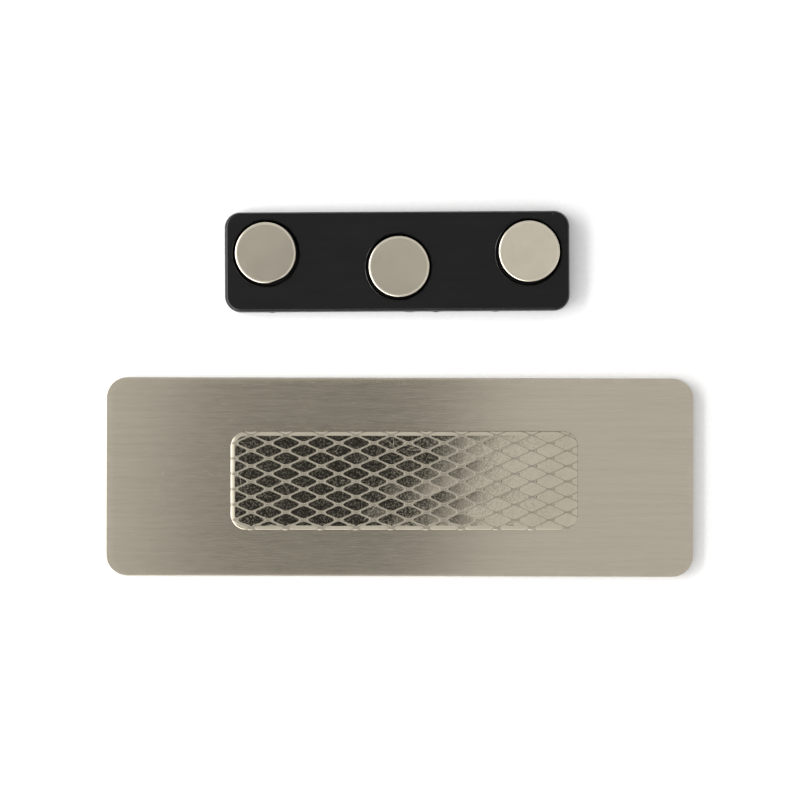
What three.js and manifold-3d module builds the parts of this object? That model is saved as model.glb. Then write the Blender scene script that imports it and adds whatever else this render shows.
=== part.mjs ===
// Magnetic name badge, taken apart and laid with its back up: a brushed steel
// plate with a nickel-plated counter plate stuck to it, and the loose plastic bar
// whose three magnets hold the badge through cloth.
// Millimetres, +Z up. The origin is the centre of the badge plate's front face,
// which lies on the surface. +X runs along the plate and +Y towards the bar.

import * as THREE from "three";
import { mergeGeometries, mergeVertices } from "three/addons/utils/BufferGeometryUtils.js";
import Module from "manifold-3d";

// Badge plate: cut steel sheet with its edges lightly broken.
const plateLength = 76.2;
const plateWidth = 25.77;
const plateThickness = 1.5;
const plateCorner = 2.5;
const plateEdgeBreak = 0.12;

// Adhesive pad, hidden under the counter plate.
const padThickness = 0.3;
const padInset = 0.6;

// Counter plate: pressed steel with a net of grooves and a rolled edge.
const counterLength = 45;
const counterWidth = 12.75;
const counterThickness = 1;
const counterCorner = 2;
const counterRollReach = 0.6;
const counterRollDrop = 0.3;
const counterShiftX = 0.6;
const counterShiftY = -0.44;

// Net: pressed grooves cross at nodes and leave a diamond standing between each
// four. Its two sharp tips are rounded, where the metal didn't fill the die.
const diamondLength = 4.548;
const diamondWidth = 1.995;
const diamondTipRadius = 0.1;
const grooveMouth = 0.34;
const grooveFloor = 0.12;
const grooveDepth = 0.1;
const netShiftX = -1.73;
const netShiftY = -0.11;

// Magnet bar: moulded plastic with a round pocket for each magnet.
const barLength = 44.7;
const barWidth = 12.95;
const barThickness = 3;
const barCorner = 2.05;
const barTopFillet = 0.28;
const barFootBreak = 0.1;
const pocketFloor = 0.5;
const pocketClearance = 0.33;
const pocketChamfer = 0.12;
const outerPocketWall = 1.06;
const middlePocketWall = 1.45;
const middlePocketShift = 0.12;

// Magnets: nickel-plated discs, each glued into its pocket.
const magnetDiameter = 7.95;
const magnetHeight = 3;
const magnetRim = 0.3;
const magnetFootBreak = 0.15;
const glueBed = 0.3;

// Where the loose bar lies beside the badge.
const barGap = 8.6;
const barShiftX = -0.33;
const barTurnDegrees = 0.4;

// Fineness of the round stretches, in steps.
const cornerSteps = 4;
const filletSteps = 4;
const roundSides = 40;

const wasm = await Module();
wasm.setup();

// A closed geometry as a solid that can be joined and cut.
function solidOf(geometry) {
  const bare = geometry.clone();
  bare.deleteAttribute("normal");
  bare.deleteAttribute("uv");
  const merged = mergeVertices(bare);
  const corners = merged.index.array;
  const triangles = [];
  for (let i = 0; i < corners.length; i += 3) {
    const [a, b, c] = corners.slice(i, i + 3);
    if (a !== b && b !== c && c !== a) triangles.push(a, b, c);
  }
  return new wasm.Manifold(new wasm.Mesh({
    numProp: 3,
    vertProperties: new Float32Array(merged.attributes.position.array),
    triVerts: new Uint32Array(triangles),
  }));
}

function geometryOf(solid) {
  const { vertProperties, triVerts } = solid.getMesh();
  const geometry = new THREE.BufferGeometry();
  geometry.setAttribute("position", new THREE.BufferAttribute(vertProperties, 3));
  geometry.setIndex(new THREE.BufferAttribute(triVerts, 1));
  geometry.computeVertexNormals();
  return geometry;
}

// A rectangle with round corners, drawn in from its full size by inset.
function roundedOutline(length, width, corner, inset) {
  const radius = corner - inset;
  const x = length / 2 - corner;
  const y = width / 2 - corner;
  const quarter = Math.PI / 2;
  const shape = new THREE.Shape();
  shape.absarc(x, y, radius, 0, quarter, false);
  shape.absarc(-x, y, radius, quarter, 2 * quarter, false);
  shape.absarc(-x, -y, radius, 2 * quarter, 3 * quarter, false);
  shape.absarc(x, -y, radius, 3 * quarter, 4 * quarter, false);
  return shape.getPoints(cornerSteps);
}

// A closed body through a stack of outlines that have as many points each.
function loft(rings) {
  const count = rings[0].outline.length;
  const last = (rings.length - 1) * count;
  const places = rings.flatMap(({ outline, z }) => outline.flatMap((point) => [point.x, point.y, z]));
  const corners = [];
  for (const [a, b, c] of THREE.ShapeUtils.triangulateShape(rings[0].outline, [])) {
    corners.push(c, b, a);
  }
  for (const [a, b, c] of THREE.ShapeUtils.triangulateShape(rings.at(-1).outline, [])) {
    corners.push(last + a, last + b, last + c);
  }
  for (let low = 0; low < last; low += count) {
    for (let i = 0; i < count; i += 1) {
      const next = (i + 1) % count;
      const high = low + count;
      corners.push(low + i, low + next, high + next);
      corners.push(low + i, high + next, high + i);
    }
  }
  const geometry = new THREE.BufferGeometry();
  geometry.setAttribute("position", new THREE.Float32BufferAttribute(places, 3));
  geometry.setIndex(corners);
  return geometry;
}

// The insets and heights of a rounded edge that ends at the height top. It is
// a quarter circle where its reach and drop are alike, and else a quarter ellipse.
function filletProfile(reach, drop, top) {
  const profile = [];
  for (let step = 0; step <= filletSteps; step += 1) {
    const angle = (step / filletSteps) * (Math.PI / 2);
    profile.push({ inset: reach * (1 - Math.cos(angle)), z: top - drop * (1 - Math.sin(angle)) });
  }
  return profile;
}

function slab(length, width, corner, profile) {
  return loft(profile.map(({ inset, z }) => ({
    outline: roundedOutline(length, width, corner, inset),
    z,
  })));
}

function badgePlate() {
  return slab(plateLength, plateWidth, plateCorner, [
    { inset: plateEdgeBreak, z: 0 },
    { inset: 0, z: plateEdgeBreak },
    { inset: 0, z: plateThickness - plateEdgeBreak },
    { inset: plateEdgeBreak, z: plateThickness },
  ]);
}

function adhesivePad() {
  return slab(counterLength, counterWidth, counterCorner, [
    { inset: padInset, z: 0 },
    { inset: padInset, z: padThickness },
  ]);
}

// One diamond, drawn in from the grooves' centre lines by margin.
function diamondOutline(margin) {
  const sideAngle = Math.atan2(diamondWidth, diamondLength);
  const tipX = diamondLength / 2 - margin / Math.sin(sideAngle);
  const tipY = diamondWidth / 2 - margin / Math.cos(sideAngle);
  const arcX = tipX - diamondTipRadius / Math.sin(sideAngle);
  const arcHalf = Math.PI / 2 - sideAngle;
  const shape = new THREE.Shape();
  shape.moveTo(0, -tipY);
  shape.absarc(arcX, 0, diamondTipRadius, -arcHalf, arcHalf, false);
  shape.lineTo(0, tipY);
  shape.absarc(-arcX, 0, diamondTipRadius, Math.PI - arcHalf, Math.PI + arcHalf, false);
  return shape.getPoints(1);
}

// Columns that flare from the grooves' mouth down to their floor and then go
// straight on down past the rolled edge. What they share with the plate's full
// thickness is the diamonds.
function diamondColumns(rollDrop) {
  const floor = counterThickness - grooveDepth;
  const top = diamondOutline(grooveMouth / 2);
  const foot = diamondOutline(grooveFloor / 2);
  const column = loft([
    { outline: foot, z: floor - rollDrop - grooveDepth },
    { outline: foot, z: floor },
    { outline: top, z: counterThickness },
    { outline: top, z: counterThickness + grooveDepth },
  ]);
  const across = Math.ceil(counterLength / diamondLength) + 1;
  const down = Math.ceil(counterWidth / diamondWidth) + 1;
  const columns = [];
  for (let i = -across; i <= across; i += 1) {
    for (let j = -down; j <= down; j += 1) {
      if ((i + j) % 2 === 0) continue;
      const x = netShiftX + (i * diamondLength) / 2;
      const y = netShiftY + (j * diamondWidth) / 2;
      const beyondX = Math.abs(x) > (counterLength + diamondLength) / 2;
      const beyondY = Math.abs(y) > (counterWidth + diamondWidth) / 2;
      if (!beyondX && !beyondY) columns.push(column.clone().translate(x, y, 0));
    }
  }
  return mergeGeometries(columns);
}

function counterPlate() {
  const rollReach = Math.min(counterRollReach, counterCorner);
  const rollDrop = Math.min(counterRollDrop, counterThickness - grooveDepth);
  const groovedTo = solidOf(slab(counterLength, counterWidth, counterCorner, [
    { inset: 0, z: 0 },
    ...filletProfile(rollReach, rollDrop, counterThickness - grooveDepth),
  ]));
  const fullHeight = solidOf(slab(counterLength, counterWidth, counterCorner, [
    { inset: 0, z: 0 },
    ...filletProfile(rollReach, rollDrop, counterThickness),
  ]));
  return geometryOf(fullHeight.intersect(solidOf(diamondColumns(rollDrop))).add(groovedTo));
}

// A round body turned about Z from the radii and heights of its profile.
function turned(profile) {
  const points = profile.map(([radius, z]) => new THREE.Vector2(radius, z));
  return new THREE.LatheGeometry(points, roundSides).rotateX(Math.PI / 2);
}

const magnetRadius = magnetDiameter / 2;
const pocketRadius = magnetRadius + pocketClearance;
const outerPocketX = barLength / 2 - outerPocketWall - pocketRadius;
const outerPocketY = barWidth / 2 - outerPocketWall - pocketRadius;
const middlePocketY = middlePocketWall + pocketRadius - barWidth / 2;

// Each magnet sits a little to one side of its pocket's centre. leanX and leanY
// are that offset as shares of the clearance round the magnet.
const pockets = [
  { magnet: "magnet_left", x: -outerPocketX, y: outerPocketY, leanX: -0.1, leanY: 0.25 },
  { magnet: "magnet_middle", x: middlePocketShift, y: middlePocketY, leanX: 0.4, leanY: 0.1 },
  { magnet: "magnet_right", x: outerPocketX, y: outerPocketY, leanX: 0.35, leanY: 0.15 },
];

function pocketCutter() {
  const mouth = pocketRadius + pocketChamfer;
  const above = barThickness + pocketChamfer;
  return turned([
    [0, pocketFloor],
    [pocketRadius, pocketFloor],
    [pocketRadius, barThickness - pocketChamfer],
    [mouth, barThickness],
    [mouth, above],
    [0, above],
  ]);
}

function magnetBar() {
  let bar = solidOf(slab(barLength, barWidth, barCorner, [
    { inset: barFootBreak, z: 0 },
    { inset: 0, z: barFootBreak },
    ...filletProfile(barTopFillet, barTopFillet, barThickness),
  ]));
  const cutter = pocketCutter();
  for (const { x, y } of pockets) {
    bar = bar.subtract(solidOf(cutter.clone().translate(x, y, 0)));
  }
  return geometryOf(bar);
}

function magnet() {
  const rimProfile = filletProfile(magnetRim, magnetRim, magnetHeight);
  const rim = rimProfile.map(({ inset, z }) => [magnetRadius - inset, z]);
  return geometryOf(solidOf(turned([
    [0, 0],
    [magnetRadius - magnetFootBreak, 0],
    [magnetRadius, magnetFootBreak],
    ...rim,
    [0, magnetHeight],
  ])));
}

const metal = { metalness: 1, flatShading: true };
const plastic = { metalness: 0, flatShading: true };
const finishes = {
  brushedSteel: { color: 0xa8a294, roughness: 0.38, ...metal },
  pressedNickel: { color: 0xc4bdac, roughness: 0.2, ...metal },
  magnetNickel: { color: 0xc9c1ae, roughness: 0.24, ...metal },
  blackPlastic: { color: 0x26262a, roughness: 0.45, ...plastic },
  paleFoam: { color: 0xd8d6cf, roughness: 0.9, ...plastic },
};

function piece(name, geometry, finish) {
  const mesh = new THREE.Mesh(geometry, new THREE.MeshStandardMaterial(finishes[finish]));
  mesh.name = name;
  return mesh;
}

const badge = new THREE.Group();
badge.add(piece("badge_plate", badgePlate(), "brushedSteel"));

const padding = piece("adhesive_pad", adhesivePad(), "paleFoam");
padding.position.set(counterShiftX, counterShiftY, plateThickness);
badge.add(padding);

const counter = piece("counter_plate", counterPlate(), "pressedNickel");
counter.position.set(counterShiftX, counterShiftY, plateThickness + padThickness);
badge.add(counter);

const looseBar = new THREE.Group();
looseBar.add(piece("magnet_bar", magnetBar(), "blackPlastic"));
for (const { magnet: name, x, y, leanX, leanY } of pockets) {
  const disc = piece(name, magnet(), "magnetNickel");
  disc.position.set(x + leanX * pocketClearance, y + leanY * pocketClearance, pocketFloor + glueBed);
  looseBar.add(disc);
}
looseBar.position.set(barShiftX, (plateWidth + barWidth) / 2 + barGap, 0);
looseBar.rotation.z = THREE.MathUtils.degToRad(barTurnDegrees);

const nameBadge = new THREE.Group();
nameBadge.add(badge, looseBar);

export default nameBadge;
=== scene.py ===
# %% [markdown]
# # A magnetic name badge, laid with its back up
# This scene dresses a small product that was built in CAD first: a brushed steel badge plate with a
# pressed counter plate stuck to its back, and beside it the loose plastic bar whose three magnets
# pull on the counter plate through cloth. The CAD model holds every size and place. Blender adds
# what the eye reads: rolled edges, a pressed net, brushing, plating and moulded plastic.
#
# The frame is loaded first, and everything after this cell is placed by its boxes.

# %% Load the frame
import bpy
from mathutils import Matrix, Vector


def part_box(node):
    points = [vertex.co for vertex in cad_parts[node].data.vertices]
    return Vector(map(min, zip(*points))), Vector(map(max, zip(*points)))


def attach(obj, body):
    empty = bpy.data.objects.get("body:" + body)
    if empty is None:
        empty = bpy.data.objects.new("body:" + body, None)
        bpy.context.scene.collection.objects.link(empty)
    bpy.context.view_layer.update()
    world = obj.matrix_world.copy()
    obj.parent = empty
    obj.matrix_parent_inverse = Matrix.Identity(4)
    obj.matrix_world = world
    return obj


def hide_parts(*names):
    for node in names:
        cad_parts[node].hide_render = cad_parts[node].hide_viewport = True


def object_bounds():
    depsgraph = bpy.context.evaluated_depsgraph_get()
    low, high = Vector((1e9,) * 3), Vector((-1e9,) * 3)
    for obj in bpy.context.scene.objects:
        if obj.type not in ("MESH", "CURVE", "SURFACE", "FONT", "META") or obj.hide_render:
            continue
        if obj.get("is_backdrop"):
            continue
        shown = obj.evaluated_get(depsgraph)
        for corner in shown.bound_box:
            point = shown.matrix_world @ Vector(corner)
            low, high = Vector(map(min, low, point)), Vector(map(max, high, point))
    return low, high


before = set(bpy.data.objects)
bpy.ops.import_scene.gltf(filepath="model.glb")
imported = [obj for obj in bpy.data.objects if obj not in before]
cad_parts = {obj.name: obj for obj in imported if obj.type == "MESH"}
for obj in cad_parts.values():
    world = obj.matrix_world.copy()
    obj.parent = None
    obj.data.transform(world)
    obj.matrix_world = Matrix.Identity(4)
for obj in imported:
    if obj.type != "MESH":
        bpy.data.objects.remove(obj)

cad_low, cad_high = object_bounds()
print("pieces in the frame:", sorted(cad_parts))

# %% [markdown]
# ## Working in millimetres
# Blender counts in metres, but the shapes below are worked out in millimetres and turned into
# metres at the end. A piece takes its place from its CAD box and not from a typed number.

# %% Units and boxes
import math

import bpy
import numpy as np
from mathutils import Vector
from mathutils.geometry import delaunay_2d_cdt

MM = 0.001


def box_of(node):
    """Lowest and highest corner of a CAD node, in millimetres."""
    low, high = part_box(node)
    return np.array(low) / MM, np.array(high) / MM


for node in sorted(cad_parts):
    low, high = box_of(node)
    print(node, "is", np.round(high - low, 2), "mm")

# %% [markdown]
# ## A shell built ring by ring
# Every piece of this badge is a flat or round body with a worked edge, so each one can be described
# as a stack of closed rings of points, from the underside up. A shell keeps the points, the faces
# between the rings, and one number for each point that says how near it is to a sharp edge. The
# materials read that number later to wear the edges. Bevel modifiers could round the same edges,
# but rings give full control of an edge that is elliptical, dented or crossed by grooves.

# %% The shell
class Shell:
    """A closed surface that is collected ring by ring, in millimetres."""

    def __init__(self):
        self.points = []
        self.edges = []
        self.faces = []
        self.flat_faces = []

    def ring(self, outline, height, edge=0.0):
        """Add a ring of points and give back their numbers."""
        first = len(self.points)
        heights = np.broadcast_to(height, len(outline))
        self.points += [(x, y, z) for (x, y), z in zip(outline, heights)]
        self.edges += list(np.broadcast_to(edge, len(outline)))
        return np.arange(first, len(self.points))

    def bridge(self, low, high, flat=False):
        """Join two rings of as many points each, with faces that look outwards."""
        if flat:
            self.flat_faces += range(len(self.faces), len(self.faces) + len(low))
        low_next = np.roll(low, -1)
        high_next = np.roll(high, -1)
        self.faces += np.stack([low, low_next, high_next, high], axis=1).tolist()

    def cap(self, ring, upwards=True):
        """Close a ring with one flat face."""
        self.flat_faces.append(len(self.faces))
        self.faces.append((ring if upwards else ring[::-1]).tolist())

    def close(self, rings, top=True):
        """Join rings from the underside up, and cap the underside and, if asked, the top."""
        for low, high in zip(rings, rings[1:]):
            self.bridge(low, high)
        self.cap(rings[0], upwards=False)
        if top:
            self.cap(rings[-1])

    def fill(self, border, holes=(), inside=(), lines=(), is_hole=None):
        """Close a ring with triangles that keep to the points and lines inside it."""
        first = len(self.faces)
        used = np.concatenate([border, *holes, np.array(inside, int)])
        place = {number: index for index, number in enumerate(used)}
        loops = [border, *holes]
        edges = [(place[a], place[b]) for loop in loops for a, b in zip(loop, np.roll(loop, -1))]
        edges += [(place[a], place[b]) for a, b in lines]
        flat = [Vector(self.points[number][:2]) for number in used]
        found = delaunay_2d_cdt(flat, edges, [], 0, 1e-7)
        came_from = [used[origins[0]] for origins in found[3]]
        for triangle in found[2]:
            corners = [came_from[corner] for corner in triangle]
            middle = np.mean([self.points[corner][:2] for corner in corners], axis=0)
            if is_hole is None or not is_hole(middle):
                self.faces.append(corners)
        if len(inside) == 0:
            self.flat_faces += range(first, len(self.faces))


# %% [markdown]
# ## From a shell to a piece
# A Blender object keeps its place in its mesh here, so that every piece has its origin where the
# CAD origin is. Each piece is tied to the root body, and `node` names the plain CAD solid that it
# stands for, which is then hidden.

# %% Make a piece
def add_object(name, data):
    """An object of the scene that shows its data."""
    thing = bpy.data.objects.new(name, data)
    bpy.context.scene.collection.objects.link(thing)
    return thing


def store_mark(piece, name, values):
    """Keep one number for each point of a piece, for its material to read."""
    mark = piece.data.attributes.new(name, "FLOAT", "POINT")
    mark.data.foreach_set("value", np.array(values, dtype=np.float32))


def add_piece(name, shell, node=None):
    """Turn a shell into an object of the scene, in metres."""
    mesh = bpy.data.meshes.new(name)
    mesh.from_pydata((np.array(shell.points) * MM).tolist(), [], shell.faces)
    mesh.shade_smooth()
    for face in shell.flat_faces:
        mesh.polygons[face].use_smooth = False
    piece = add_object(name, mesh)
    store_mark(piece, "edge", shell.edges)
    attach(piece, "root")
    if node is not None:
        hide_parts(node)
    print(name, "has", len(mesh.polygons), "faces")
    return piece


# %% [markdown]
# ## The outline that three pieces share
# The plate, the counter plate and the bar are all rectangles with round corners. The outline is
# drawn with a fixed number of points, whatever its inset, so that two rings of one piece always
# match point for point. The points are spaced evenly, which keeps long faces from forming where
# a pattern crosses the edge.

# %% Rounded outline
def rounded_outline(length, width, corner, inset=0.0, spacing=0.5):
    """Points round a rectangle with round corners, drawn in from its full size by inset."""
    reach_x = length / 2 - corner
    reach_y = width / 2 - corner
    radius = corner - inset
    arc_steps = math.ceil(corner * math.pi / 2 / spacing)
    centres = [(reach_x, reach_y), (-reach_x, reach_y), (-reach_x, -reach_y), (reach_x, -reach_y)]
    points = []
    for turn in range(4):
        centre = np.array(centres[turn])
        angles = (turn + np.arange(arc_steps + 1) / arc_steps) * math.pi / 2
        arc = centre + radius * np.stack([np.cos(angles), np.sin(angles)], axis=1)
        step_to_next = np.array(centres[(turn + 1) % 4]) - centre
        side_steps = math.ceil(np.linalg.norm(step_to_next) / spacing)
        shares = np.arange(1, side_steps)[:, None] / side_steps
        points += [arc, arc[-1] + shares * step_to_next]
    return np.concatenate(points)


def quarter_round(reach, drop, steps):
    """Insets and drops of an edge that starts flat on top and ends upright, in that order."""
    angles = np.linspace(0, math.pi / 2, steps + 1)
    return [(reach * (1 - math.sin(angle)), drop * (1 - math.cos(angle))) for angle in angles]


# %% [markdown]
# ## The badge plate
# The plate is sheared from brushed stainless sheet. Shearing drags the rim down a little on the
# side where the punch enters, and the sharp corner left on the other side is then broken with
# a file or in a tumbler. So the back has a shallow roll nearly a millimetre wide before the small
# break of the edge, and that roll catches a slightly different part of the room than the flat does.
# A bevel alone would miss it, and the rim would look cut from glass. The plate also lies turned by
# a seventh of a degree, which is too little to matter in CAD.

# %% Build the badge plate
PLATE_CORNER = 2.75
PLATE_BREAK = 0.07
BREAK_STEPS = 5
PLATE_ROLL_REACH = 0.85
PLATE_ROLL_DROP = 0.005
PLATE_ROLL_SHARES = (0.25, 0.4, 0.6, 0.8, 0.95, 1.0)
PLATE_FLAT_INSET = PLATE_BREAK + PLATE_ROLL_REACH + 0.2
PLATE_TURN = math.radians(-0.15)
BREAK_MIDDLE = 0.3

plate_low, plate_high = box_of("badge_plate")
plate_length, plate_width, plate_thickness = plate_high - plate_low


def turned_about_z(outline, angle):
    """The outline turned in its plane about the origin."""
    cos, sin = math.cos(angle), math.sin(angle)
    return outline @ np.array([[cos, sin], [-sin, cos]])


def build_badge_plate():
    """The brushed plate with its sheared roll on the back and a plain break on the front."""
    shell = Shell()
    middle = PLATE_BREAK * BREAK_MIDDLE
    profile = [(PLATE_BREAK, 0, 1), (middle, middle, 1), (0, PLATE_BREAK, 1)]
    below_roll = plate_thickness - PLATE_ROLL_DROP
    for inset, drop in reversed(quarter_round(PLATE_BREAK, PLATE_BREAK, BREAK_STEPS)):
        profile.append((inset, below_roll - drop, 1))
    for share in PLATE_ROLL_SHARES:
        height = plate_thickness - PLATE_ROLL_DROP * (1 - share) ** 2
        profile.append((PLATE_BREAK + share * PLATE_ROLL_REACH, height, 1 - share))
    profile.append((PLATE_FLAT_INSET, plate_thickness, 0))
    rings = []
    for inset, height, edge in profile:
        outline = rounded_outline(plate_length, plate_width, PLATE_CORNER, inset)
        rings.append(shell.ring(turned_about_z(outline, PLATE_TURN), height, edge))
    shell.close(rings)
    return add_piece("badge_plate_brushed", shell, "badge_plate")


badge_plate = build_badge_plate()

# %% [markdown]
# ### Which way the brushing runs
# Brushing leaves thousands of parallel scratches along the plate. They scatter light across
# themselves and hardly along themselves, so a brushed face mirrors sideways and blurs up and down.
# The shader needs to know the direction of the scratches, and a UV map whose U runs along the plate
# tells it.

# %% UV along the brushing
def add_brushing_map(piece):
    """A UV map in metres with U along the plate, for the direction of the brushing."""
    mesh = piece.data
    layer = mesh.uv_layers.new(name="brushing")
    corners = np.empty(len(mesh.loops), dtype=np.int32)
    mesh.loops.foreach_get("vertex_index", corners)
    places = np.empty(len(mesh.vertices) * 3, dtype=np.float32)
    mesh.vertices.foreach_get("co", places)
    flat = places.reshape(-1, 3)[corners, :2]
    layer.data.foreach_set("uv", flat.ravel())
    print("mapped", len(corners), "corners along the brushing")


add_brushing_map(badge_plate)

# %% [markdown]
# ## The adhesive pad
# A thin foam pad with glue on both faces holds the counter plate. It is cut smaller than the plate
# so that nothing squeezes out, and only its edge shows, deep in the slot between the two metals.
# Foam is soft, so its edge bulges a little at half height where it is pressed.

# %% Build the adhesive pad
PAD_CORNER = 1.4
PAD_BULGE = 0.12
PAD_STEPS = 7
pad_low, pad_high = box_of("adhesive_pad")


def build_adhesive_pad():
    """The foam pad with an edge that bulges between the two plates."""
    length, width, thickness = pad_high - pad_low
    middle = (pad_low + pad_high)[:2] / 2
    shell = Shell()
    rings = []
    for share in np.linspace(0, 1, PAD_STEPS):
        inset = PAD_BULGE * (2 * share - 1) ** 2
        outline = rounded_outline(length, width, PAD_CORNER, inset) + middle
        rings.append(shell.ring(outline, pad_low[2] + share * thickness))
    shell.close(rings)
    return add_piece("adhesive_pad_foam", shell, "adhesive_pad")


adhesive_pad = build_adhesive_pad()

# %% [markdown]
# ## The pressed net
# The counter plate is the steel strip that the magnets grip. Two sets of parallel grooves are
# pressed into it at a slant, so that cloth can't slide on it, and the metal between them stands as
# diamonds. A displacement texture could fake this, but the grooves decide how the plate catches
# light, so they are real geometry. The depth at any point is a formula: how far the point is from
# the nearest groove of each set and from the nearest crossing, and a smooth join of the three. The
# die presses a small pool into each crossing, longer along the plate than across it, and the join
# rounds the corners between the pool and its grooves.

# %% Depth of the net
DIAMOND_LENGTH = 4.548
DIAMOND_WIDTH = 1.995
NET_X = -1.68
NET_Y = -0.11
GROOVE_HALF = 0.085
GROOVE_DEPTH = 0.04
CROSSING_SWELL = 0.02
CROSSING_REACH = {"along": 7.3, "across": 1.9}
GROOVE_PITCH = 1 / math.hypot(1 / DIAMOND_LENGTH, 1 / DIAMOND_WIDTH)
print("grooves of one set lie", round(GROOVE_PITCH, 3), "mm apart")


def net_steps(x, y):
    """How many grooves of each set lie between the net's first crossing and a point."""
    along = (x - NET_X) / DIAMOND_LENGTH
    across = (y - NET_Y) / DIAMOND_WIDTH
    return along - across, along + across


def groove_distance(x, y):
    """Distance to the nearest groove or pool, shortened smoothly where they join."""
    sharpness = math.log(2) / CROSSING_SWELL
    first, second = [steps - np.round(steps) for steps in net_steps(x, y)]
    along = (first + second) / 2 * DIAMOND_LENGTH / CROSSING_REACH["along"]
    across = (second - first) / 2 * DIAMOND_WIDTH / CROSSING_REACH["across"]
    pool = np.maximum(np.abs(along), np.abs(across))
    distances = [np.abs(first) * GROOVE_PITCH, np.abs(second) * GROOVE_PITCH, pool]
    total = sum(np.exp(-sharpness * distance) for distance in distances)
    return np.maximum(-np.log(total) / sharpness, 0)


def groove_share(x, y):
    """1 on the floor of a groove, 0 on a diamond, and a round slope between them."""
    distance = np.minimum(groove_distance(x, y) / GROOVE_HALF, 1)
    return 0.5 + 0.5 * np.cos(math.pi * distance)


# %% [markdown]
# ### Diamonds that aren't all alike
# No die presses every diamond to the same plane. Each one leans by a fraction of a degree and is
# a little higher in its middle. On a mirror finish this is what makes neighbours differ in tone.
# The leans come from a seeded generator, so the plate is the same each time.

# %% Height of the diamonds
DIAMOND_ROLL_REACH = 0.4
DIAMOND_ROLL_DROP = 0.001
DIAMOND_LEAN = math.radians(0.1)
LEAN_SEED = 7
LEAN_COUNT = 64
lean_table = np.random.default_rng(LEAN_SEED).normal(0, DIAMOND_LEAN, size=(LEAN_COUNT, LEAN_COUNT, 2))
print("steepest lean:", round(math.degrees(np.abs(lean_table).max()), 2), "degrees")


def diamond_height(x, y):
    """Height of the diamonds' faces above their shared plane."""
    first, second = net_steps(x, y)
    row, column = np.floor(first).astype(int), np.floor(second).astype(int)
    lean = lean_table[row % LEAN_COUNT, column % LEAN_COUNT]
    along = (row + column + 1) / 2 * DIAMOND_LENGTH + NET_X
    across = (column - row) / 2 * DIAMOND_WIDTH + NET_Y
    distance = groove_distance(x, y)
    leaning = lean[..., 0] * (x - along) + lean[..., 1] * (y - across)
    rolled = np.clip(1 - (distance - GROOVE_HALF) / DIAMOND_ROLL_REACH, 0, 1)
    return leaning * np.minimum(distance / GROOVE_HALF, 1) - DIAMOND_ROLL_DROP * rolled ** 2


# %% [markdown]
# ### The counter plate
# The flat middle is a net of small triangles whose points line up with the grooves: dense where
# the groove bends and sparse on the diamonds. Lining them up costs a quarter of the faces that
# a square grid would need for the same crisp edge. Outside that, rings carry the surface over the
# rolled edge and down the side. Where a groove runs over the edge, it squeezes a small spur of
# metal outwards. The side is shaded flat, so its normals don't bend the light on the roll.

# %% Points of the net's mesh
COUNTER_CORNER = 2.0
ROLL_REACH = 0.54
ROLL_CORNER = 0.03
ROLL_SLOPES = (0.07, 0.6)
INNER_RING = 0.03
NET_MARGIN = ROLL_REACH + INNER_RING + 0.03
GRID_OFFSETS = [0, 0.03, 0.055, 0.075, 0.095, 0.12, 0.15, 0.185, 0.23, 0.29, 0.38, 0.55]
counter_low, counter_high = box_of("counter_plate")
counter_length, counter_width = (counter_high - counter_low)[:2]
counter_middle = (counter_low + counter_high)[:2] / 2


def inside_outline(points, margin):
    """True for points that lie inside the counter plate's outline by at least margin."""
    reach = np.array([counter_length, counter_width]) / 2 - COUNTER_CORNER
    beyond = np.maximum(np.abs(points) - reach, 0)
    return np.hypot(beyond[:, 0], beyond[:, 1]) < COUNTER_CORNER - margin


def net_grid():
    """Points along the grooves of both sets, dense near a groove, and the lines between them."""
    offsets = np.array(GRID_OFFSETS) / GROOVE_PITCH
    steps = np.concatenate([offsets, [0.5], 1 - offsets[:0:-1]])
    count = math.ceil(counter_length / DIAMOND_LENGTH + counter_width / DIAMOND_WIDTH)
    line = np.concatenate([steps + turn for turn in range(-count, count)])
    first, second = np.meshgrid(line, line)
    x = (first + second) / 2 * DIAMOND_LENGTH + NET_X
    y = (second - first) / 2 * DIAMOND_WIDTH + NET_Y
    points = np.stack([x.ravel(), y.ravel()], axis=1)
    kept = inside_outline(points, NET_MARGIN)
    numbers = np.where(kept, np.cumsum(kept) - 1, -1).reshape(first.shape)
    down = np.stack([numbers[:-1].ravel(), numbers[1:].ravel()], axis=1)
    across = np.stack([numbers[:, :-1].ravel(), numbers[:, 1:].ravel()], axis=1)
    lines = np.concatenate([down, across])
    return points[kept], lines[(lines >= 0).all(axis=1)]


net_points, net_lines = net_grid()
print("points inside the net:", len(net_points))

# %% Build the counter plate
SPUR = 0.07
COUNTER_SPACING = 0.1
COUNTER_SIDE = [(0.08, 0, 0, 1), (0, 0.06, 0, 1), (0, 0.3, 0.3, 0.6)]
ROLL_FOOT = [(0, 0.1), (ROLL_CORNER * BREAK_MIDDLE, 0.05)]
ROLL_STEPS = 8


def roll_profile():
    """Insets and drops of the rolled edge, from its foot on the side up to the flat middle."""
    first, last = ROLL_SLOPES
    width = ROLL_REACH - ROLL_CORNER
    rolled = []
    for share in np.linspace(1, 0, ROLL_STEPS + 1):
        drop = width * (first * share + (last - first) / 2 * share ** 2)
        rolled.append((ROLL_REACH - width * share, drop))
    lowest = rolled[0][1]
    return [(inset, lowest + drop) for inset, drop in ROLL_FOOT] + rolled


def counter_outline(inset):
    """The counter plate's outline about its own centre."""
    return rounded_outline(counter_length, counter_width, COUNTER_CORNER, inset, COUNTER_SPACING)


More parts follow.
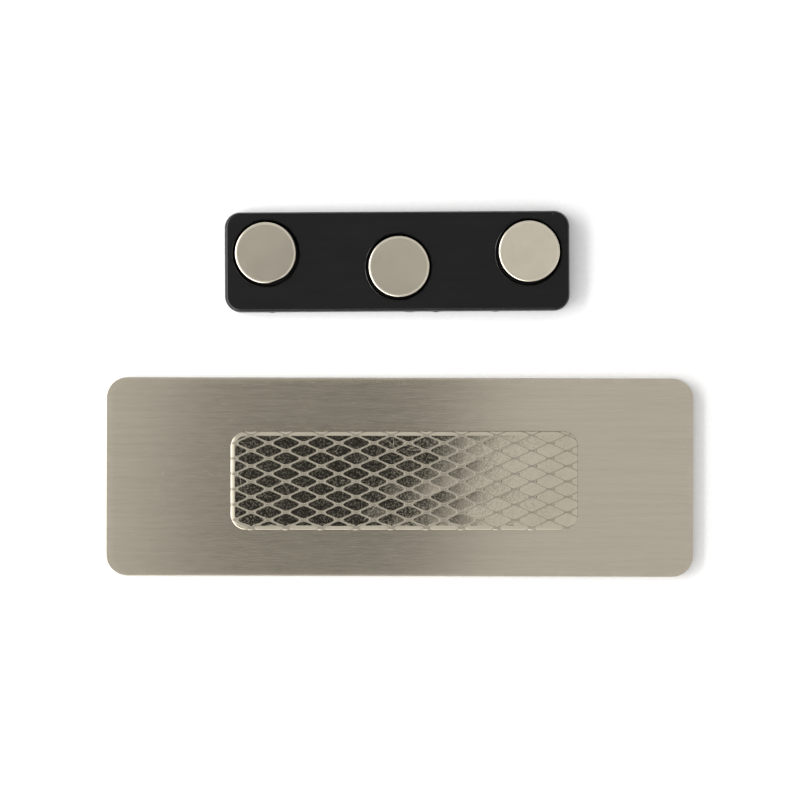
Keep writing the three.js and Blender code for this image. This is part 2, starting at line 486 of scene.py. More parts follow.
def build_counter_plate():
    """The pressed plate: underside, side and rolled edge by rings, net by triangles."""
    shell = Shell()
    outwards = (counter_outline(0) - counter_outline(ROLL_REACH)) / ROLL_REACH
    pressed = groove_share(*counter_outline(ROLL_REACH / 2).T)[:, None]
    long_side = outwards[:, 1] ** 2
    top = counter_high[2]

    def ring(inset, height, share, edge):
        outline = counter_outline(inset)
        spur = outwards * SPUR * pressed * share * long_side[:, None]
        inner = min(inset / ROLL_REACH, 1)
        depth = GROOVE_DEPTH * groove_share(*outline.T) * share * (long_side + (1 - long_side) * inner)
        level = height - depth + diamond_height(*outline.T) * share * inner ** 2
        return shell.ring(outline + spur + counter_middle, level, edge)

    rings = [ring(inset, counter_low[2] + rise, share, edge) for inset, rise, share, edge in COUNTER_SIDE]
    side_count = len(rings) + len(ROLL_FOOT)
    rings += [ring(inset, top - drop, 1, 1 - inset / ROLL_REACH) for inset, drop in roll_profile()]
    rings.append(ring(ROLL_REACH + INNER_RING, top, 1, 0))
    for number, (below, above) in enumerate(zip(rings, rings[1:])):
        shell.bridge(below, above, flat=number < side_count)
    height = top + diamond_height(*net_points.T) - GROOVE_DEPTH * groove_share(*net_points.T)
    inside = shell.ring(net_points + counter_middle, height)
    shell.fill(rings[-1], inside=inside, lines=inside[net_lines])
    shell.cap(rings[0], upwards=False)
    piece = add_piece("counter_plate_pressed", shell, "counter_plate")
    flat = np.array(shell.points)[:, :2] - counter_middle
    store_mark(piece, "groove", groove_share(*flat.T))
    return piece


counter_plate = build_counter_plate()

# %% [markdown]
# ## The magnet bar
# The bar is injection moulded in black plastic. Its walls lean in by a degree so that it leaves the
# mould, its top edge is chamfered, and the mouth of each pocket has a small lead-in for the magnet.
# Along the foot the two mould halves met, and a few nibs of flash are left there. The bar lies
# slightly turned, so its own length and width can't be read off its box.

# %% The bar's own frame
BAR_TURN = math.radians(0.3)
BAR_LENGTH = 44.7
BAR_WIDTH = 12.95
BAR_CORNER = 2.05
bar_low, bar_high = box_of("magnet_bar")
bar_middle = (bar_low + bar_high)[:2] / 2
bar_thickness = bar_high[2]
MAGNET_RADIUS = 7.95 / 2


def on_bar(outline):
    """Points given about the bar's centre, turned and moved to where the bar lies."""
    return turned_about_z(outline, BAR_TURN) + bar_middle


def centre_of(node):
    """The middle of a CAD node seen from above."""
    low, high = box_of(node)
    return ((low + high) / 2)[:2]


print("bar's middle:", np.round(bar_middle, 2), "mm")

# %% Sizes of the bar and its pockets
BAR_FOOT = [(0.1, 0, 1, 0), (0, 0.1, 1, 1), (0, 0.35, 0.5, 1), (0, 0.5, 0, 0)]
BAR_SPACING = 0.2
TOP_MARGIN = 0.05
EDGE_DROP = 0.3
BAR_EDGE = [(0.03, 0.55), (0.03, 0.47), (0.05, 0.43), (0.15, 0.25), (0.18, 0.2), (0.38, 0.02), (0.42, 0)]
POCKET_CLEARANCE = 0.33
POCKET_RADIUS = MAGNET_RADIUS + POCKET_CLEARANCE
POCKET_CHAMFER = 0.12
POCKET_MOUTH = POCKET_RADIUS + POCKET_CHAMFER
POCKET_FLOOR = 0.5
POCKET_FILLET = 0.2
CHAMFER_MIDDLE = 0.35
POCKET_WALLS = {"outer": 1.06, "middle": 1.45}
MIDDLE_SHIFT = 0.12
outer_x = BAR_LENGTH / 2 - POCKET_WALLS["outer"] - POCKET_RADIUS
outer_y = BAR_WIDTH / 2 - POCKET_WALLS["outer"] - POCKET_RADIUS
middle_y = POCKET_WALLS["middle"] + POCKET_RADIUS - BAR_WIDTH / 2
pocket_centres = [(-outer_x, outer_y), (MIDDLE_SHIFT, middle_y), (outer_x, outer_y)]
print("pockets at", np.round(pocket_centres, 2).tolist())

# %% One pocket, and the flash along the foot
flash_nibs = [
    {"x": -16.3, "length": 0.5, "reach": 0.07},
    {"x": 1.6, "length": 0.9, "reach": 0.06},
    {"x": 5.0, "length": 0.5, "reach": 0.08},
    {"x": 12.7, "length": 0.6, "reach": 0.06},
]


def circle(centre, radius, count=96):
    """Points round a circle, counter-clockwise."""
    angles = np.arange(count) / count * 2 * math.pi
    return np.array(centre) + radius * np.stack([np.cos(angles), np.sin(angles)], axis=1)


def flash_reach(outline):
    """How far the flash stands out along the bar's front edge."""
    reach = np.zeros(len(outline))
    for nib in flash_nibs:
        share = np.clip(np.abs(outline[:, 0] - nib["x"]) / nib["length"], 0, 1)
        reach = np.maximum(reach, nib["reach"] * (1 - share ** 2))
    return np.where(outline[:, 1] < -BAR_WIDTH / 2 + BAR_CORNER / 4, reach, 0)


def add_pocket(shell, centre):
    """One round pocket, from its mouth down to its floor. Gives back the mouth's ring."""
    top = bar_thickness
    profile = [
        (POCKET_MOUTH + TOP_MARGIN, top, 0),
        (POCKET_MOUTH, top, 1),
        (POCKET_RADIUS + POCKET_CHAMFER * CHAMFER_MIDDLE, top - POCKET_CHAMFER * CHAMFER_MIDDLE, 1),
        (POCKET_RADIUS, top - POCKET_CHAMFER, 1),
        (POCKET_RADIUS, POCKET_FLOOR + POCKET_FILLET, 0),
        (POCKET_RADIUS - POCKET_FILLET, POCKET_FLOOR, 0),
    ]
    rings = [shell.ring(on_bar(circle(centre, radius)), height, edge) for radius, height, edge in profile]
    for above, below in zip(rings, rings[1:]):
        shell.bridge(below[::-1], above[::-1])
    shell.cap(rings[-1])
    return rings[0]


# %% Build the magnet bar
def build_magnet_bar():
    """The moulded bar with its leaning walls, chamfered top edge and three pockets."""
    shell = Shell()

    def ring(inset, height, edge, flash=0.0):
        outline = rounded_outline(BAR_LENGTH, BAR_WIDTH, BAR_CORNER, inset, BAR_SPACING)
        outline[:, 1] -= flash * flash_reach(outline)
        return shell.ring(on_bar(outline), height, edge)

    rings = [ring(*row) for row in BAR_FOOT]
    for inset, drop in BAR_EDGE:
        rings.append(ring(inset, bar_thickness - drop, 1 if 0 < drop < EDGE_DROP else 0))
    rings.append(ring(BAR_EDGE[-1][0] + TOP_MARGIN, bar_thickness, 0))
    shell.close(rings, top=False)
    mouths = [add_pocket(shell, centre) for centre in pocket_centres]
    centres = on_bar(np.array(pocket_centres))

    def is_pocket(point):
        return min(np.hypot(*(centres - point).T)) < POCKET_MOUTH

    shell.fill(rings[-1], holes=mouths, is_hole=is_pocket)
    return add_piece("magnet_bar_moulded", shell, "magnet_bar")


magnet_bar = build_magnet_bar()

# %% [markdown]
# ### Flash round the pockets
# Where the core of the mould shut against its plate, a hair of plastic crept out. It hangs as
# a thin lip over part of each pocket's mouth, and its outer slope shows as a thin grey arc.

# %% Build the flash
FLASH_PROFILE = [(-0.02, -0.09), (-0.2, 0.08), (-0.26, -0.05)]
FLASH_STEPS = 48
flash_arcs = {"left": (15, 70, 0.5), "middle": (100, 238, 1.0), "right": (98, 212, 1.0)}


def build_flash(name, centre, start_degrees, end_degrees, fullness):
    """A thin lip along one stretch of a pocket's mouth, thinning out at both ends."""
    angles = np.radians(np.linspace(start_degrees, end_degrees, FLASH_STEPS))
    taper = np.sin(np.linspace(0, math.pi, FLASH_STEPS)) ** 0.5 * fullness
    directions = np.stack([np.cos(angles), np.sin(angles)], axis=1)
    shell = Shell()
    rows = []
    for reach, rise in FLASH_PROFILE:
        outline = np.array(centre) + directions * (POCKET_MOUTH + reach * taper[:, None])
        rows.append(shell.ring(on_bar(outline), bar_thickness + rise * taper, 1))
    for outer, inner in zip(rows, rows[1:] + rows[:1]):
        shell.faces += np.stack([outer[:-1], outer[1:], inner[1:], inner[:-1]], axis=1).tolist()
    shell.faces += [[row[0] for row in rows], [row[-1] for row in rows[::-1]]]
    shell.flat_faces += range(len(shell.faces))
    return add_piece("pocket_flash_" + name, shell)


flashes = [build_flash(name, centre, *flash_arcs[name])
           for name, centre in zip(flash_arcs, pocket_centres)]

# %% [markdown]
# ## The magnets
# Neodymium is brittle and rusts, so each disc is tumbled round at its rim and plated with nickel.
# The rim's curve mirrors the whole room in a thin ring, which is why a bright crescent shows on the
# side that faces the light. Each disc lies in its glue with a slight lean of its own, and one of
# them took a knock on its rim. A plain cylinder with a bevel can't show a knock, so the discs are
# turned from a profile and the dent is pressed in afterwards.

# %% Build the magnets
MAGNET_RIM = 0.3
MAGNET_FOOT = 0.15
MAGNET_FLAT = MAGNET_RIM + 0.04
RIM_STEPS = 9
MAGNET_SIDES = 144
magnet_leans = {"magnet_left": (0.0, 0.8), "magnet_middle": (0.0, 0.45), "magnet_right": (-0.3, -0.1)}
rim_dents = {"magnet_left": {"toward": math.radians(292), "depth": 0.16}}
DENT_FALL = 0.35


def press_dent(points, toward, depth):
    """Push the rim in to a flat chord, and the metal above it down with it."""
    direction = np.array([math.cos(toward), math.sin(toward)])
    reach = points[:, :2] @ direction
    extra = np.maximum(reach - (MAGNET_RADIUS - depth), 0)
    points[:, :2] -= extra[:, None] * direction
    points[:, 2] -= extra * DENT_FALL
    return points


def build_magnet(node):
    """One plated disc, turned from its profile and laid at its lean."""
    low, high = box_of(node)
    height = high[2] - low[2]
    profile = [(MAGNET_RADIUS - MAGNET_FOOT, 0, 1), (MAGNET_RADIUS, MAGNET_FOOT, 1)]
    for inset, drop in reversed(quarter_round(MAGNET_RIM, MAGNET_RIM, RIM_STEPS)):
        profile.append((MAGNET_RADIUS - inset, height - drop, 1 if inset < MAGNET_RIM else 0.5))
    profile += [(MAGNET_RADIUS - MAGNET_FLAT, height, 0), (MAGNET_RADIUS / 2, height, 0)]
    shell = Shell()
    rings = [shell.ring(circle((0, 0), radius, MAGNET_SIDES), z, edge) for radius, z, edge in profile]
    shell.close(rings)
    points = np.array(shell.points)
    if node in rim_dents:
        points = press_dent(points, **rim_dents[node])
    lean_x, lean_y = np.radians(magnet_leans[node])
    points[:, 2] += points[:, 0] * lean_x + points[:, 1] * lean_y
    points[:, :2] += centre_of(node)
    points[:, 2] += low[2]
    shell.points = points.tolist()
    return add_piece(node + "_plated", shell, node)


magnets = [build_magnet(node) for node in magnet_leans]

# %% [markdown]
# ## Small helpers for materials
# A node tree reads best when each line places one node and says what goes into it. `place` sets an
# input if it is given a value and links it if it is given another node's output.

# %% Node helpers
def place(tree, kind, inputs=None, **settings):
    """Add one node to a tree, set its properties, and set or link its inputs."""
    node = tree.nodes.new(kind)
    for name, value in settings.items():
        setattr(node, name, value)
    for name, value in (inputs or {}).items():
        socket = node.inputs[name]
        if isinstance(value, bpy.types.NodeSocket):
            tree.links.new(value, socket)
        else:
            socket.default_value = value
    return node


def math_node(tree, operation, first, second=0.0, third=0.0):
    """One Math node's value."""
    inputs = {0: first, 1: second, 2: third}
    return place(tree, "ShaderNodeMath", inputs, operation=operation).outputs[0]


def remap(tree, value, low, high, to_low=0.0, to_high=1.0, smooth=True):
    """A value taken from one range to another, with soft ends if smooth."""
    kind = "SMOOTHSTEP" if smooth else "LINEAR"
    inputs = {"Value": value, "From Min": low, "From Max": high, "To Min": to_low, "To Max": to_high}
    return place(tree, "ShaderNodeMapRange", inputs, interpolation_type=kind).outputs["Result"]


def in_units_of(tree, at, length, width):
    """A place counted in a feature's length and width, for a texture with a scale of 1."""
    size = place(tree, "ShaderNodeCombineXYZ", {0: length, 1: width, 2: length}).outputs[0]
    return place(tree, "ShaderNodeVectorMath", {0: at, 1: size}, operation="DIVIDE").outputs[0]


def new_group(name, numbers, outputs):
    """A shader node group that takes a place and some numbers, and its two end nodes."""
    group = bpy.data.node_groups.new(name, "ShaderNodeTree")
    group.interface.new_socket("Place", in_out="INPUT", socket_type="NodeSocketVector")
    for title, value in numbers.items():
        socket = group.interface.new_socket(title, in_out="INPUT", socket_type="NodeSocketFloat")
        socket.default_value = value
    for title in outputs:
        group.interface.new_socket(title, in_out="OUTPUT", socket_type="NodeSocketFloat")
    print("made the group", name)
    return group, group.nodes.new("NodeGroupInput").outputs, group.nodes.new("NodeGroupOutput").inputs


# %% [markdown]
# ## Shared effect: grain
# Plated steel, moulded plastic and foam are never quite smooth. Grain is a noise at a chosen size
# in millimetres. It gives a height for a bump and a mask for small changes of tone.

# %% Grain group
grain_group, start, end = new_group("surface_grain", {"Size": 0.2, "Detail": 2.0}, ["Height", "Mask"])
sized = in_units_of(grain_group, start["Place"], start["Size"], start["Size"])
noise = place(grain_group, "ShaderNodeTexNoise",
              {"Vector": sized, "Scale": 1.0, "Detail": start["Detail"]})
grain_group.links.new(noise.outputs["Fac"], end["Height"])
grain_group.links.new(remap(grain_group, noise.outputs["Fac"], 0.35, 0.65), end["Mask"])

# %% [markdown]
# ## Shared effect: streaks
# Brushing, rolling and the flow of plastic in a mould all leave marks that are long one way and
# fine the other. The group stretches a noise by two sizes, along X and across it.

# %% Streak group
streak_group, start, end = new_group(
    "drawn_streaks", {"Length": 8.0, "Width": 0.12, "Detail": 3.0}, ["Height", "Mask"])
sized = in_units_of(streak_group, start["Place"], start["Length"], start["Width"])
noise = place(streak_group, "ShaderNodeTexNoise",
              {"Vector": sized, "Scale": 1.0, "Detail": start["Detail"], "Roughness": 0.6})
streak_group.links.new(noise.outputs["Fac"], end["Height"])
streak_group.links.new(remap(streak_group, noise.outputs["Fac"], 0.3, 0.7), end["Mask"])

# %% [markdown]
# ## Shared effect: handling scratches
# Loose metal parts rub on each other in their bag. The scratches are short, fine and few, and they
# run all ways. A Voronoi pattern gives cells, the distance to their borders gives thin lines, and
# a large noise bends the lines and leaves most of them out.

# %% Scratch group
BEND_SCALE = 0.23
PATCH_SCALE = 0.37

scratch_group, start, end = new_group(
    "handling_scratches", {"Spacing": 4.0, "Width": 0.012, "Amount": 0.4}, ["Mask"])
bend = place(scratch_group, "ShaderNodeTexNoise",
             {"Vector": start["Place"], "Scale": BEND_SCALE, "Detail": 2.0})
bent = place(scratch_group, "ShaderNodeVectorMath",
             {0: start["Place"], 1: bend.outputs["Color"]}, operation="ADD")
density = math_node(scratch_group, "DIVIDE", 1.0, start["Spacing"])
cells = place(scratch_group, "ShaderNodeTexVoronoi",
              {"Vector": bent.outputs[0], "Scale": density}, feature="DISTANCE_TO_EDGE")
line = remap(scratch_group, cells.outputs["Distance"], 0.0, start["Width"], 1.0, 0.0, smooth=False)
patches = place(scratch_group, "ShaderNodeTexNoise", {"Vector": start["Place"], "Scale": PATCH_SCALE})
threshold = math_node(scratch_group, "MULTIPLY_ADD", start["Amount"], -0.35, 0.75)
kept = math_node(scratch_group, "GREATER_THAN", patches.outputs["Fac"], threshold)
scratch_group.links.new(math_node(scratch_group, "MULTIPLY", line, kept), end["Mask"])

# %% [markdown]
# ## Shared effect: worn edges
# Edges are touched, rubbed and polished first. The shells stored how near each point is to an edge,
# and this group breaks that number up with noise, so that the wear comes and goes along the edge.

# %% Edge wear group
wear_group, start, end = new_group("worn_edges", {"Edge": 0.0, "Patch": 1.5, "Amount": 0.5}, ["Mask"])
sized = in_units_of(wear_group, start["Place"], start["Patch"], start["Patch"])
rub = place(wear_group, "ShaderNodeTexNoise", {"Vector": sized, "Scale": 1.0, "Detail": 4.0})
level = math_node(wear_group, "MULTIPLY_ADD", start["Amount"], -0.5, 0.85)
above = math_node(wear_group, "SUBTRACT", rub.outputs["Fac"], level)
rubbed = remap(wear_group, above, -0.15, 0.15)
wear_group.links.new(math_node(wear_group, "MULTIPLY", start["Edge"], rubbed), end["Mask"])

# %% [markdown]
# ## Shared effect: dust
# A little lint and dust settles on everything, and it shows most on black plastic. Dust is a sparse
# field of small spots: the random height of a Voronoi cell decides whether it holds a speck.

# %% Dust group
SPECK_RADIUS = 0.07

dust_group, start, end = new_group("settled_dust", {"Spacing": 0.9, "Amount": 0.1}, ["Mask"])
density = math_node(dust_group, "DIVIDE", 1.0, start["Spacing"])
specks = place(dust_group, "ShaderNodeTexVoronoi", {"Vector": start["Place"], "Scale": density})
random = place(dust_group, "ShaderNodeSeparateColor", {0: specks.outputs["Color"]}).outputs
chosen = math_node(dust_group, "LESS_THAN", random[0], start["Amount"])
radius = math_node(dust_group, "MULTIPLY", random[1], SPECK_RADIUS)
spot = math_node(dust_group, "LESS_THAN", specks.outputs["Distance"], radius)
dust_group.links.new(math_node(dust_group, "MULTIPLY", chosen, spot), end["Mask"])

# %% [markdown]
# ## A material's start
# Each material begins with the same three nodes: a Principled shader, its output, and the place on
# the object in millimetres. Object coordinates stay with the piece when it moves.

# %% New material
def new_material(name, pieces, **constants):
    """A material on some pieces, whose Principled shader has its constant sockets set by name."""
    material = bpy.data.materials.new(name)
    material.use_nodes = True
    for piece in pieces:
        piece.data.materials.append(material)
    tree = material.node_tree
    tree.nodes.clear()
    shader = place(tree, "ShaderNodeBsdfPrincipled")
    place(tree, "ShaderNodeOutputMaterial", {"Surface": shader.outputs[0]})
    for title, value in constants.items():
        shader.inputs[title.replace("_", " ")].default_value = value
    on_object = place(tree, "ShaderNodeTexCoord").outputs["Object"]
    at = place(tree, "ShaderNodeVectorMath", {0: on_object, 1: (1 / MM,) * 3}, operation="MULTIPLY")
    print("made the material", name, "for", len(pieces), "pieces")
    return tree, shader, at.outputs[0]


def drive(tree, shader, **sources):
    """Link sockets of the shader to what was worked out for them."""
    for title, source in sources.items():
        tree.links.new(source, shader.inputs[title.replace("_", " ")])


def use_group(tree, group, at, **numbers):
    """Put a shared effect in a material with its own numbers."""
    return place(tree, "ShaderNodeGroup", {"Place": at, **numbers}, node_tree=group).outputs


def mix_colour(tree, share, first, second):
    """A mix of two colours by a share."""
    return place(tree, "ShaderNodeMix", {0: share, 6: first, 7: second}, data_type="RGBA").outputs[2]


def blend_in(tree, mask, amount, colour, other):
    """A colour with some of another colour in it where a mask is full."""
    return mix_colour(tree, math_node(tree, "MULTIPLY", mask, amount), colour, other)


def bumped(tree, height, depth_mm):
    """A normal bent by a height, which is depth_mm where it is 1."""
    inputs = {"Height": height, "Strength": 1.0, "Distance": depth_mm * MM}
    return place(tree, "ShaderNodeBump", inputs).outputs[0]


def mark_value(tree, name):
    """A number that was stored on the piece's points."""
    return place(tree, "ShaderNodeAttribute", attribute_name=name).outputs["Fac"]


# %% [markdown]
# ## Brushed steel
# Stainless steel is a warm grey metal. The brushing is too fine to model, so the shader carries it:
# anisotropy at its full value makes the blur ten times wider across the scratches than along them.
# On top of that, streaks change the tone and the roughness a little, because the coarser scratches
# can be seen one by one, and short rough flecks mark where the belt dug in.

# %% Brushed steel material
STEEL = (0.6, 0.547, 0.444, 1)
STEEL_DARK = (0.55, 0.501, 0.407, 1)
STEEL_WORN = (0.66, 0.605, 0.5, 1)
FLECK_ROUGHNESS = 0.035

tree, shader, at = new_material("brushed_steel", [badge_plate], Metallic=1.0, Anisotropic=1.0,
                                Anisotropic_Rotation=0.25)
fine = use_group(tree, streak_group, at, Length=2.2, Width=0.07, Detail=2.0)
flecks = use_group(tree, streak_group, at, Length=0.7, Width=0.09, Detail=1.0)
broad = use_group(tree, streak_group, at, Length=22.0, Width=0.6, Detail=2.0)
scratches = use_group(tree, scratch_group, at, Spacing=9.0, Width=0.004, Amount=0.25)
worn = use_group(tree, wear_group, at, Edge=mark_value(tree, "edge"), Patch=2.0, Amount=0.6)
broad_tone = math_node(tree, "MULTIPLY", broad["Mask"], 0.45)
tone = math_node(tree, "MULTIPLY_ADD", fine["Mask"], 0.55, broad_tone)
colour = mix_colour(tree, tone, STEEL_DARK, STEEL)
satin = remap(tree, fine["Mask"], 0.0, 1.0, 0.102, 0.12, smooth=False)
fleck = remap(tree, flecks["Height"], 0.62, 0.74)
flecked = math_node(tree, "MULTIPLY_ADD", fleck, FLECK_ROUGHNESS, satin)
drive(
    tree, shader,
    Base_Color=blend_in(tree, worn["Mask"], 0.5, colour, STEEL_WORN),
    Roughness=math_node(tree, "MULTIPLY_ADD", scratches["Mask"], 0.1, flecked),
    Normal=bumped(tree, math_node(tree, "SUBTRACT", fine["Height"], scratches["Mask"]), 0.0006),
    Tangent=place(tree, "ShaderNodeTangent", direction_type="UV_MAP", uv_map="brushing").outputs[0],
)

# %% [markdown]
# ## Pressed nickel
# The counter plate is pressed first and plated afterwards. The diamonds keep the grain of the
# rolled strip under a mirror coat, so their polish varies from speck to speck. The grooves are
# rougher, and their colour is darkened as painted shade, for the shade that falls into them.

# %% Pressed nickel material
NICKEL = (0.66, 0.601, 0.48, 1)
NICKEL_DIM = (0.62, 0.565, 0.45, 1)
NICKEL_GROOVE_SHADE = (0.41, 0.375, 0.303, 1)
NICKEL_WORN = (0.74, 0.68, 0.56, 1)
GROOVE_ROUGHNESS = 0.22

tree, shader, at = new_material("pressed_nickel", [counter_plate], Metallic=1.0)
grain = use_group(tree, grain_group, at, Size=0.22, Detail=2.0)
cloud = use_group(tree, grain_group, at, Size=5.0, Detail=3.0)
scratches = use_group(tree, scratch_group, at, Spacing=6.0, Width=0.005, Amount=0.5)
worn = use_group(tree, wear_group, at, Edge=mark_value(tree, "edge"), Patch=1.2, Amount=0.5)
groove = mark_value(tree, "groove")
clouded = mix_colour(tree, cloud["Mask"], NICKEL_DIM, NICKEL)
# Painted shade: the colour is darkened in the grooves, for the shade that falls into them.
colour = mix_colour(tree, remap(tree, groove, 0.0, 0.5), clouded, NICKEL_GROOVE_SHADE)
polish = remap(tree, grain["Mask"], 0.2, 1.0, 0.022, 0.1, smooth=False)
dulled = math_node(tree, "MULTIPLY_ADD", remap(tree, groove, 0.0, 0.3), GROOVE_ROUGHNESS, polish)
drive(
    tree, shader,
    Base_Color=blend_in(tree, worn["Mask"], 0.4, colour, NICKEL_WORN),
    Roughness=math_node(tree, "MULTIPLY_ADD", scratches["Mask"], 0.15, dulled),
    Normal=bumped(tree, math_node(tree, "SUBTRACT", grain["Height"], scratches["Mask"]), 0.0006),
)

# %% [markdown]
# ## Magnet plating
# The magnets are plated too, but in a barrel with hundreds of others, and the tumbling leaves them
# satin. The same grain group serves, with a finer grain and a higher roughness, and the rims are
# polished brighter where they rub.

# %% Magnet plating material
PLATING = (0.82, 0.755, 0.617, 1)
PLATING_DIM = (0.78, 0.716, 0.583, 1)
PLATING_WORN = (0.8, 0.74, 0.62, 1)
RIM_POLISH = -0.03

tree, shader, at = new_material("magnet_plating", magnets, Metallic=1.0)
grain = use_group(tree, grain_group, at, Size=0.1, Detail=2.0)
cloud = use_group(tree, grain_group, at, Size=3.0, Detail=4.0)
scratches = use_group(tree, scratch_group, at, Spacing=3.0, Width=0.006, Amount=0.5)
edge = mark_value(tree, "edge")
worn = use_group(tree, wear_group, at, Edge=edge, Patch=2.0, Amount=0.8)
colour = mix_colour(tree, cloud["Mask"], PLATING_DIM, PLATING)
satin = remap(tree, grain["Mask"], 0.0, 1.0, 0.138, 0.152, smooth=False)
polished = math_node(tree, "MULTIPLY_ADD", edge, RIM_POLISH, satin)
drive(
    tree, shader,
    Base_Color=blend_in(tree, worn["Mask"], 0.5, colour, PLATING_WORN),
    Roughness=math_node(tree, "MULTIPLY_ADD", scratches["Mask"], 0.08, polished),
    Normal=bumped(tree, grain["Height"], 0.002),
)

# %% [markdown]
# ## Black moulding
# The bar is ABS with a lot of carbon black. The mould's face was finely ground, so the plastic is
# satin with faint flow marks along its length. Handling polishes its edges to a grey shine, and
# dust shows on it.

# %% Black moulding material
MOULDING = (0.002, 0.002, 0.0021, 1)
MOULDING_FLOW = (0.003, 0.003, 0.0031, 1)
MOULDING_WORN = (0.06, 0.06, 0.065, 1)
DUST = (0.3, 0.29, 0.27, 1)
EDGE_POLISH = -0.16

tree, shader, at = new_material("black_moulding", [magnet_bar, *flashes], IOR=1.34)
grain = use_group(tree, grain_group, at, Size=0.09, Detail=3.0)
flow = use_group(tree, streak_group, at, Length=9.0, Width=1.1, Detail=4.0)
edge = mark_value(tree, "edge")
worn = use_group(tree, wear_group, at, Edge=edge, Patch=1.0, Amount=0.5)
dust = use_group(tree, dust_group, at, Spacing=1.1, Amount=0.08)
colour = mix_colour(tree, flow["Mask"], MOULDING, MOULDING_FLOW)
rubbed = blend_in(tree, worn["Mask"], 0.15, colour, MOULDING_WORN)
satin = remap(tree, flow["Mask"], 0.0, 1.0, 0.3, 0.38, smooth=False)
drive(
    tree, shader,
    Base_Color=blend_in(tree, dust["Mask"], 0.25, rubbed, DUST),
    Roughness=math_node(tree, "MULTIPLY_ADD", edge, EDGE_POLISH, satin),
    Normal=bumped(tree, grain["Height"], 0.003),
)

# %% [markdown]
# ## Foam
# The pad is closed-cell foam, off-white, with cells a tenth of a millimetre across that show only
# on its cut edge. Its colour is darker in the low spots of the cells' bump, which is painted shade.

# %% Foam material
FOAM_PORE_SHADE = (0.62, 0.6, 0.55, 1)
FOAM = (0.8, 0.79, 0.75, 1)
FOAM_DUST = (0.2, 0.19, 0.17, 1)

tree, shader, at = new_material("pale_foam", [adhesive_pad], Roughness=0.9)
cells = use_group(tree, grain_group, at, Size=0.08, Detail=2.0)
dust = use_group(tree, dust_group, at, Spacing=0.7, Amount=0.2)
# Painted shade: the low spots of the cells' bump take the darker foam colour.
colour = mix_colour(tree, cells["Mask"], FOAM_PORE_SHADE, FOAM)
drive(
    tree, shader,
    Base_Color=mix_colour(tree, dust["Mask"], colour, FOAM_DUST),
    Normal=bumped(tree, cells["Height"], 0.05),
)

# %% [markdown]
# ## The floor
# The badge lies on a plain white sweep. It is a flat sheet just under the badge, and it is stage,
# which means that it isn't part of the product.

# %% Floor
FLOOR_HALF = 900.0
FLOOR_GAP = 0.01
PAPER = (0.9, 0.9, 0.9, 1)
PAPER_FIBRE = (0.88, 0.88, 0.885, 1)

mesh = bpy.data.meshes.new("floor")
corners = np.array([(-1, -1, 0), (1, -1, 0), (1, 1, 0), (-1, 1, 0)]) * FLOOR_HALF
mesh.from_pydata(((corners - (0, 0, FLOOR_GAP)) * MM).tolist(), [], [(0, 1, 2, 3)])
floor = add_object("floor", mesh)
floor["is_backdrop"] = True
tree, shader, at = new_material("floor_paper", [floor], Roughness=0.9, Specular_IOR_Level=0.0)
fibre = use_group(tree, grain_group, at, Size=0.6, Detail=3.0)
drive(tree, shader, Base_Color=mix_colour(tree, fibre["Mask"], PAPER_FIBRE, PAPER))

# %% [markdown]
# ## The room
# Polished metal shows the room more than itself, so the room is designed as carefully as the
# metal. It is a soft, even studio: pale all round, brighter low down on the left, where the
# window is, and with one dark band overhead, the shadow of the camera's own arm. The net mirrors
# that band, which is why its left half is nearly black and its right half is bright. The room is
# written in the World shader as a function of direction, so it has no seams and no far objects.
#
# The band is laid out first. Each direction is measured by how far it leans from straight up, and
# the band lies at a slant, with a soft left edge, a right edge that fades and then ends, and ends
# that narrow towards the left.

# %% The dark band overhead
BAND_SLANT = -0.25
BAND_LEFT = (-0.066, -0.037)
BAND_FADE = (0.008, 0.0225)
BAND_END = (0.018, 0.0235)
BAND_MIDDLE = 0.016
BAND_REACH = (0.038, 0.068)
BAND_NARROWING = (-0.045, -0.012, 1.3, 1.0)

world = bpy.data.worlds.new("studio")
bpy.context.scene.world = world
world.use_nodes = True
tree = world.node_tree
tree.nodes.clear()
direction = place(tree, "ShaderNodeTexCoord").outputs["Generated"]
axes = place(tree, "ShaderNodeSeparateXYZ", {0: direction}).outputs
up = math_node(tree, "MAXIMUM", axes["Z"], 0.001)
lean_x = math_node(tree, "DIVIDE", axes["X"], up)
lean_y = math_node(tree, "DIVIDE", axes["Y"], up)
slanted = math_node(tree, "MULTIPLY_ADD", lean_y, BAND_SLANT, lean_x)
fading = remap(tree, slanted, *BAND_FADE, 1.0, 0.5, smooth=False)
ending = remap(tree, slanted, *BAND_END, 0.0, 0.5)
right_edge = math_node(tree, "SUBTRACT", fading, ending)
between = math_node(tree, "MULTIPLY", remap(tree, slanted, *BAND_LEFT), right_edge)
from_middle = math_node(tree, "ABSOLUTE", math_node(tree, "ADD", lean_y, BAND_MIDDLE))
narrowed = math_node(tree, "MULTIPLY", from_middle, remap(tree, slanted, *BAND_NARROWING))
band = math_node(tree, "MULTIPLY", between, remap(tree, narrowed, *BAND_REACH, 1.0, 0.0))
print("nodes for the band:", len(tree.nodes))

# %% The room round it
ROOM_LIGHT = 0.72
WALL_GLOW = 0.7
WINDOW_GLOW = 4.8
FAR_SHADE = -0.5
BAND_LIGHT = 0.045
COOL = (1, 0.995, 0.99, 1)
WARM = (1, 0.985, 0.95, 1)


def facing(azimuth, elevation):
    """How far a direction faces a place in the room that is given in degrees."""
    turn, rise = math.radians(azimuth), math.radians(elevation)
    towards = (math.cos(rise) * math.cos(turn), math.cos(rise) * math.sin(turn), math.sin(rise))
    node = place(tree, "ShaderNodeVectorMath", {0: direction, 1: towards}, operation="DOT_PRODUCT")
    return node.outputs["Value"]


def low_patch(azimuth, nearness, rows, glow):
    """Light from low down on one side, or a shade if glow is negative."""
    side = remap(tree, facing(azimuth, 0), *nearness)
    below = remap(tree, axes["Z"], *rows, 1.0, 0.0)
    return math_node(tree, "MULTIPLY", math_node(tree, "MULTIPLY", side, below), glow)


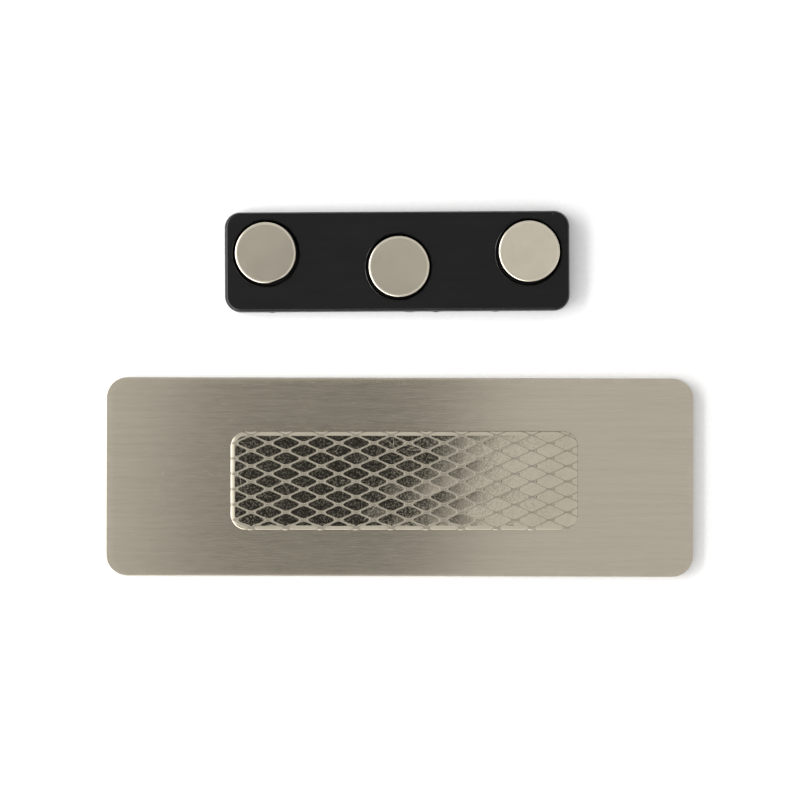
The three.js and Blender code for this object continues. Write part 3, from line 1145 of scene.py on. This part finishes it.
light = remap(tree, facing(186, 30), 0.72, 0.98, 0.0, WALL_GLOW)
for patch in (low_patch(205, (0.24, 0.8), (0.22, 0.42), WINDOW_GLOW),
              low_patch(52, (0.2, 0.8), (0.15, 0.6), FAR_SHADE)):
    light = math_node(tree, "ADD", light, patch)
even = math_node(tree, "ADD", light, ROOM_LIGHT)
seen = math_node(tree, "MULTIPLY", even, remap(tree, band, 0.0, 1.0, 1.0, BAND_LIGHT, smooth=False))
tint = mix_colour(tree, between, COOL, WARM)
background = place(tree, "ShaderNodeBackground", {"Color": tint, "Strength": seen})
place(tree, "ShaderNodeOutputWorld", {"Surface": background.outputs[0]})
print("the room has", len(tree.nodes), "nodes")

# %% [markdown]
# ### Two lamps for paper and shadows
# One softbox stands low on the left and casts the long shadows to the right. The other hangs over
# the plate and gives the bar its faint shadow behind. Both are kept out of the reflections, so the
# metal still mirrors the plain room alone.

# %% Lamps
def add_softbox(name, place_mm, size_mm, power, aim_mm):
    """A soft lamp that lights matt surfaces and isn't mirrored."""
    lamp = bpy.data.lights.new(name, "AREA")
    lamp.shape = "RECTANGLE"
    lamp.size = size_mm[0] * MM
    lamp.size_y = size_mm[1] * MM
    lamp.energy = power
    softbox = add_object(name, lamp)
    softbox.location = Vector(place_mm) * MM
    aim = Vector(aim_mm) * MM - softbox.location
    softbox.rotation_euler = aim.to_track_quat("-Z", "Y").to_euler()
    softbox.visible_glossy = False
    print(name, "hangs", round(aim.length / MM), "mm from what it lights")


add_softbox("window_softbox", (-115, 26, 132), (200, 40), 0.19, (0, 8, 0))
add_softbox("top_softbox", (0, 2, 150), (160, 70), 0.035, (0, 2, 0))

# %% [markdown]
# ## The camera
# The picture is taken straight from above with a long lens, about half a metre away, so the two
# pieces show no perspective to speak of.

# %% Camera
CAMERA_PLACE = (0.04, 10.0, 550.0)
FRAME_WIDTH = 103.85
SENSOR = 36.0

lens = bpy.data.cameras.new("overhead_camera")
lens.sensor_width = SENSOR
lens.lens = SENSOR * (CAMERA_PLACE[2] - plate_thickness) / FRAME_WIDTH
lens.clip_start = 0.01
camera = add_object("overhead_camera", lens)
camera.location = Vector(CAMERA_PLACE) * MM
bpy.context.scene.camera = camera
bpy.context.scene.view_settings.view_transform = "Standard"
print("lens", round(lens.lens, 1), "mm")

# %% [markdown]
# ## Sizes
# The last cell puts the CAD box and the dressed part's box side by side, so that they can be
# compared, and prints the dressed part's size.

# %% Finish
low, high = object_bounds()
{"cad": [list(cad_low), list(cad_high)], "visual": [list(low), list(high)]}
print("dressed part:", np.round((np.array(high) - np.array(low)) / MM, 2), "mm")
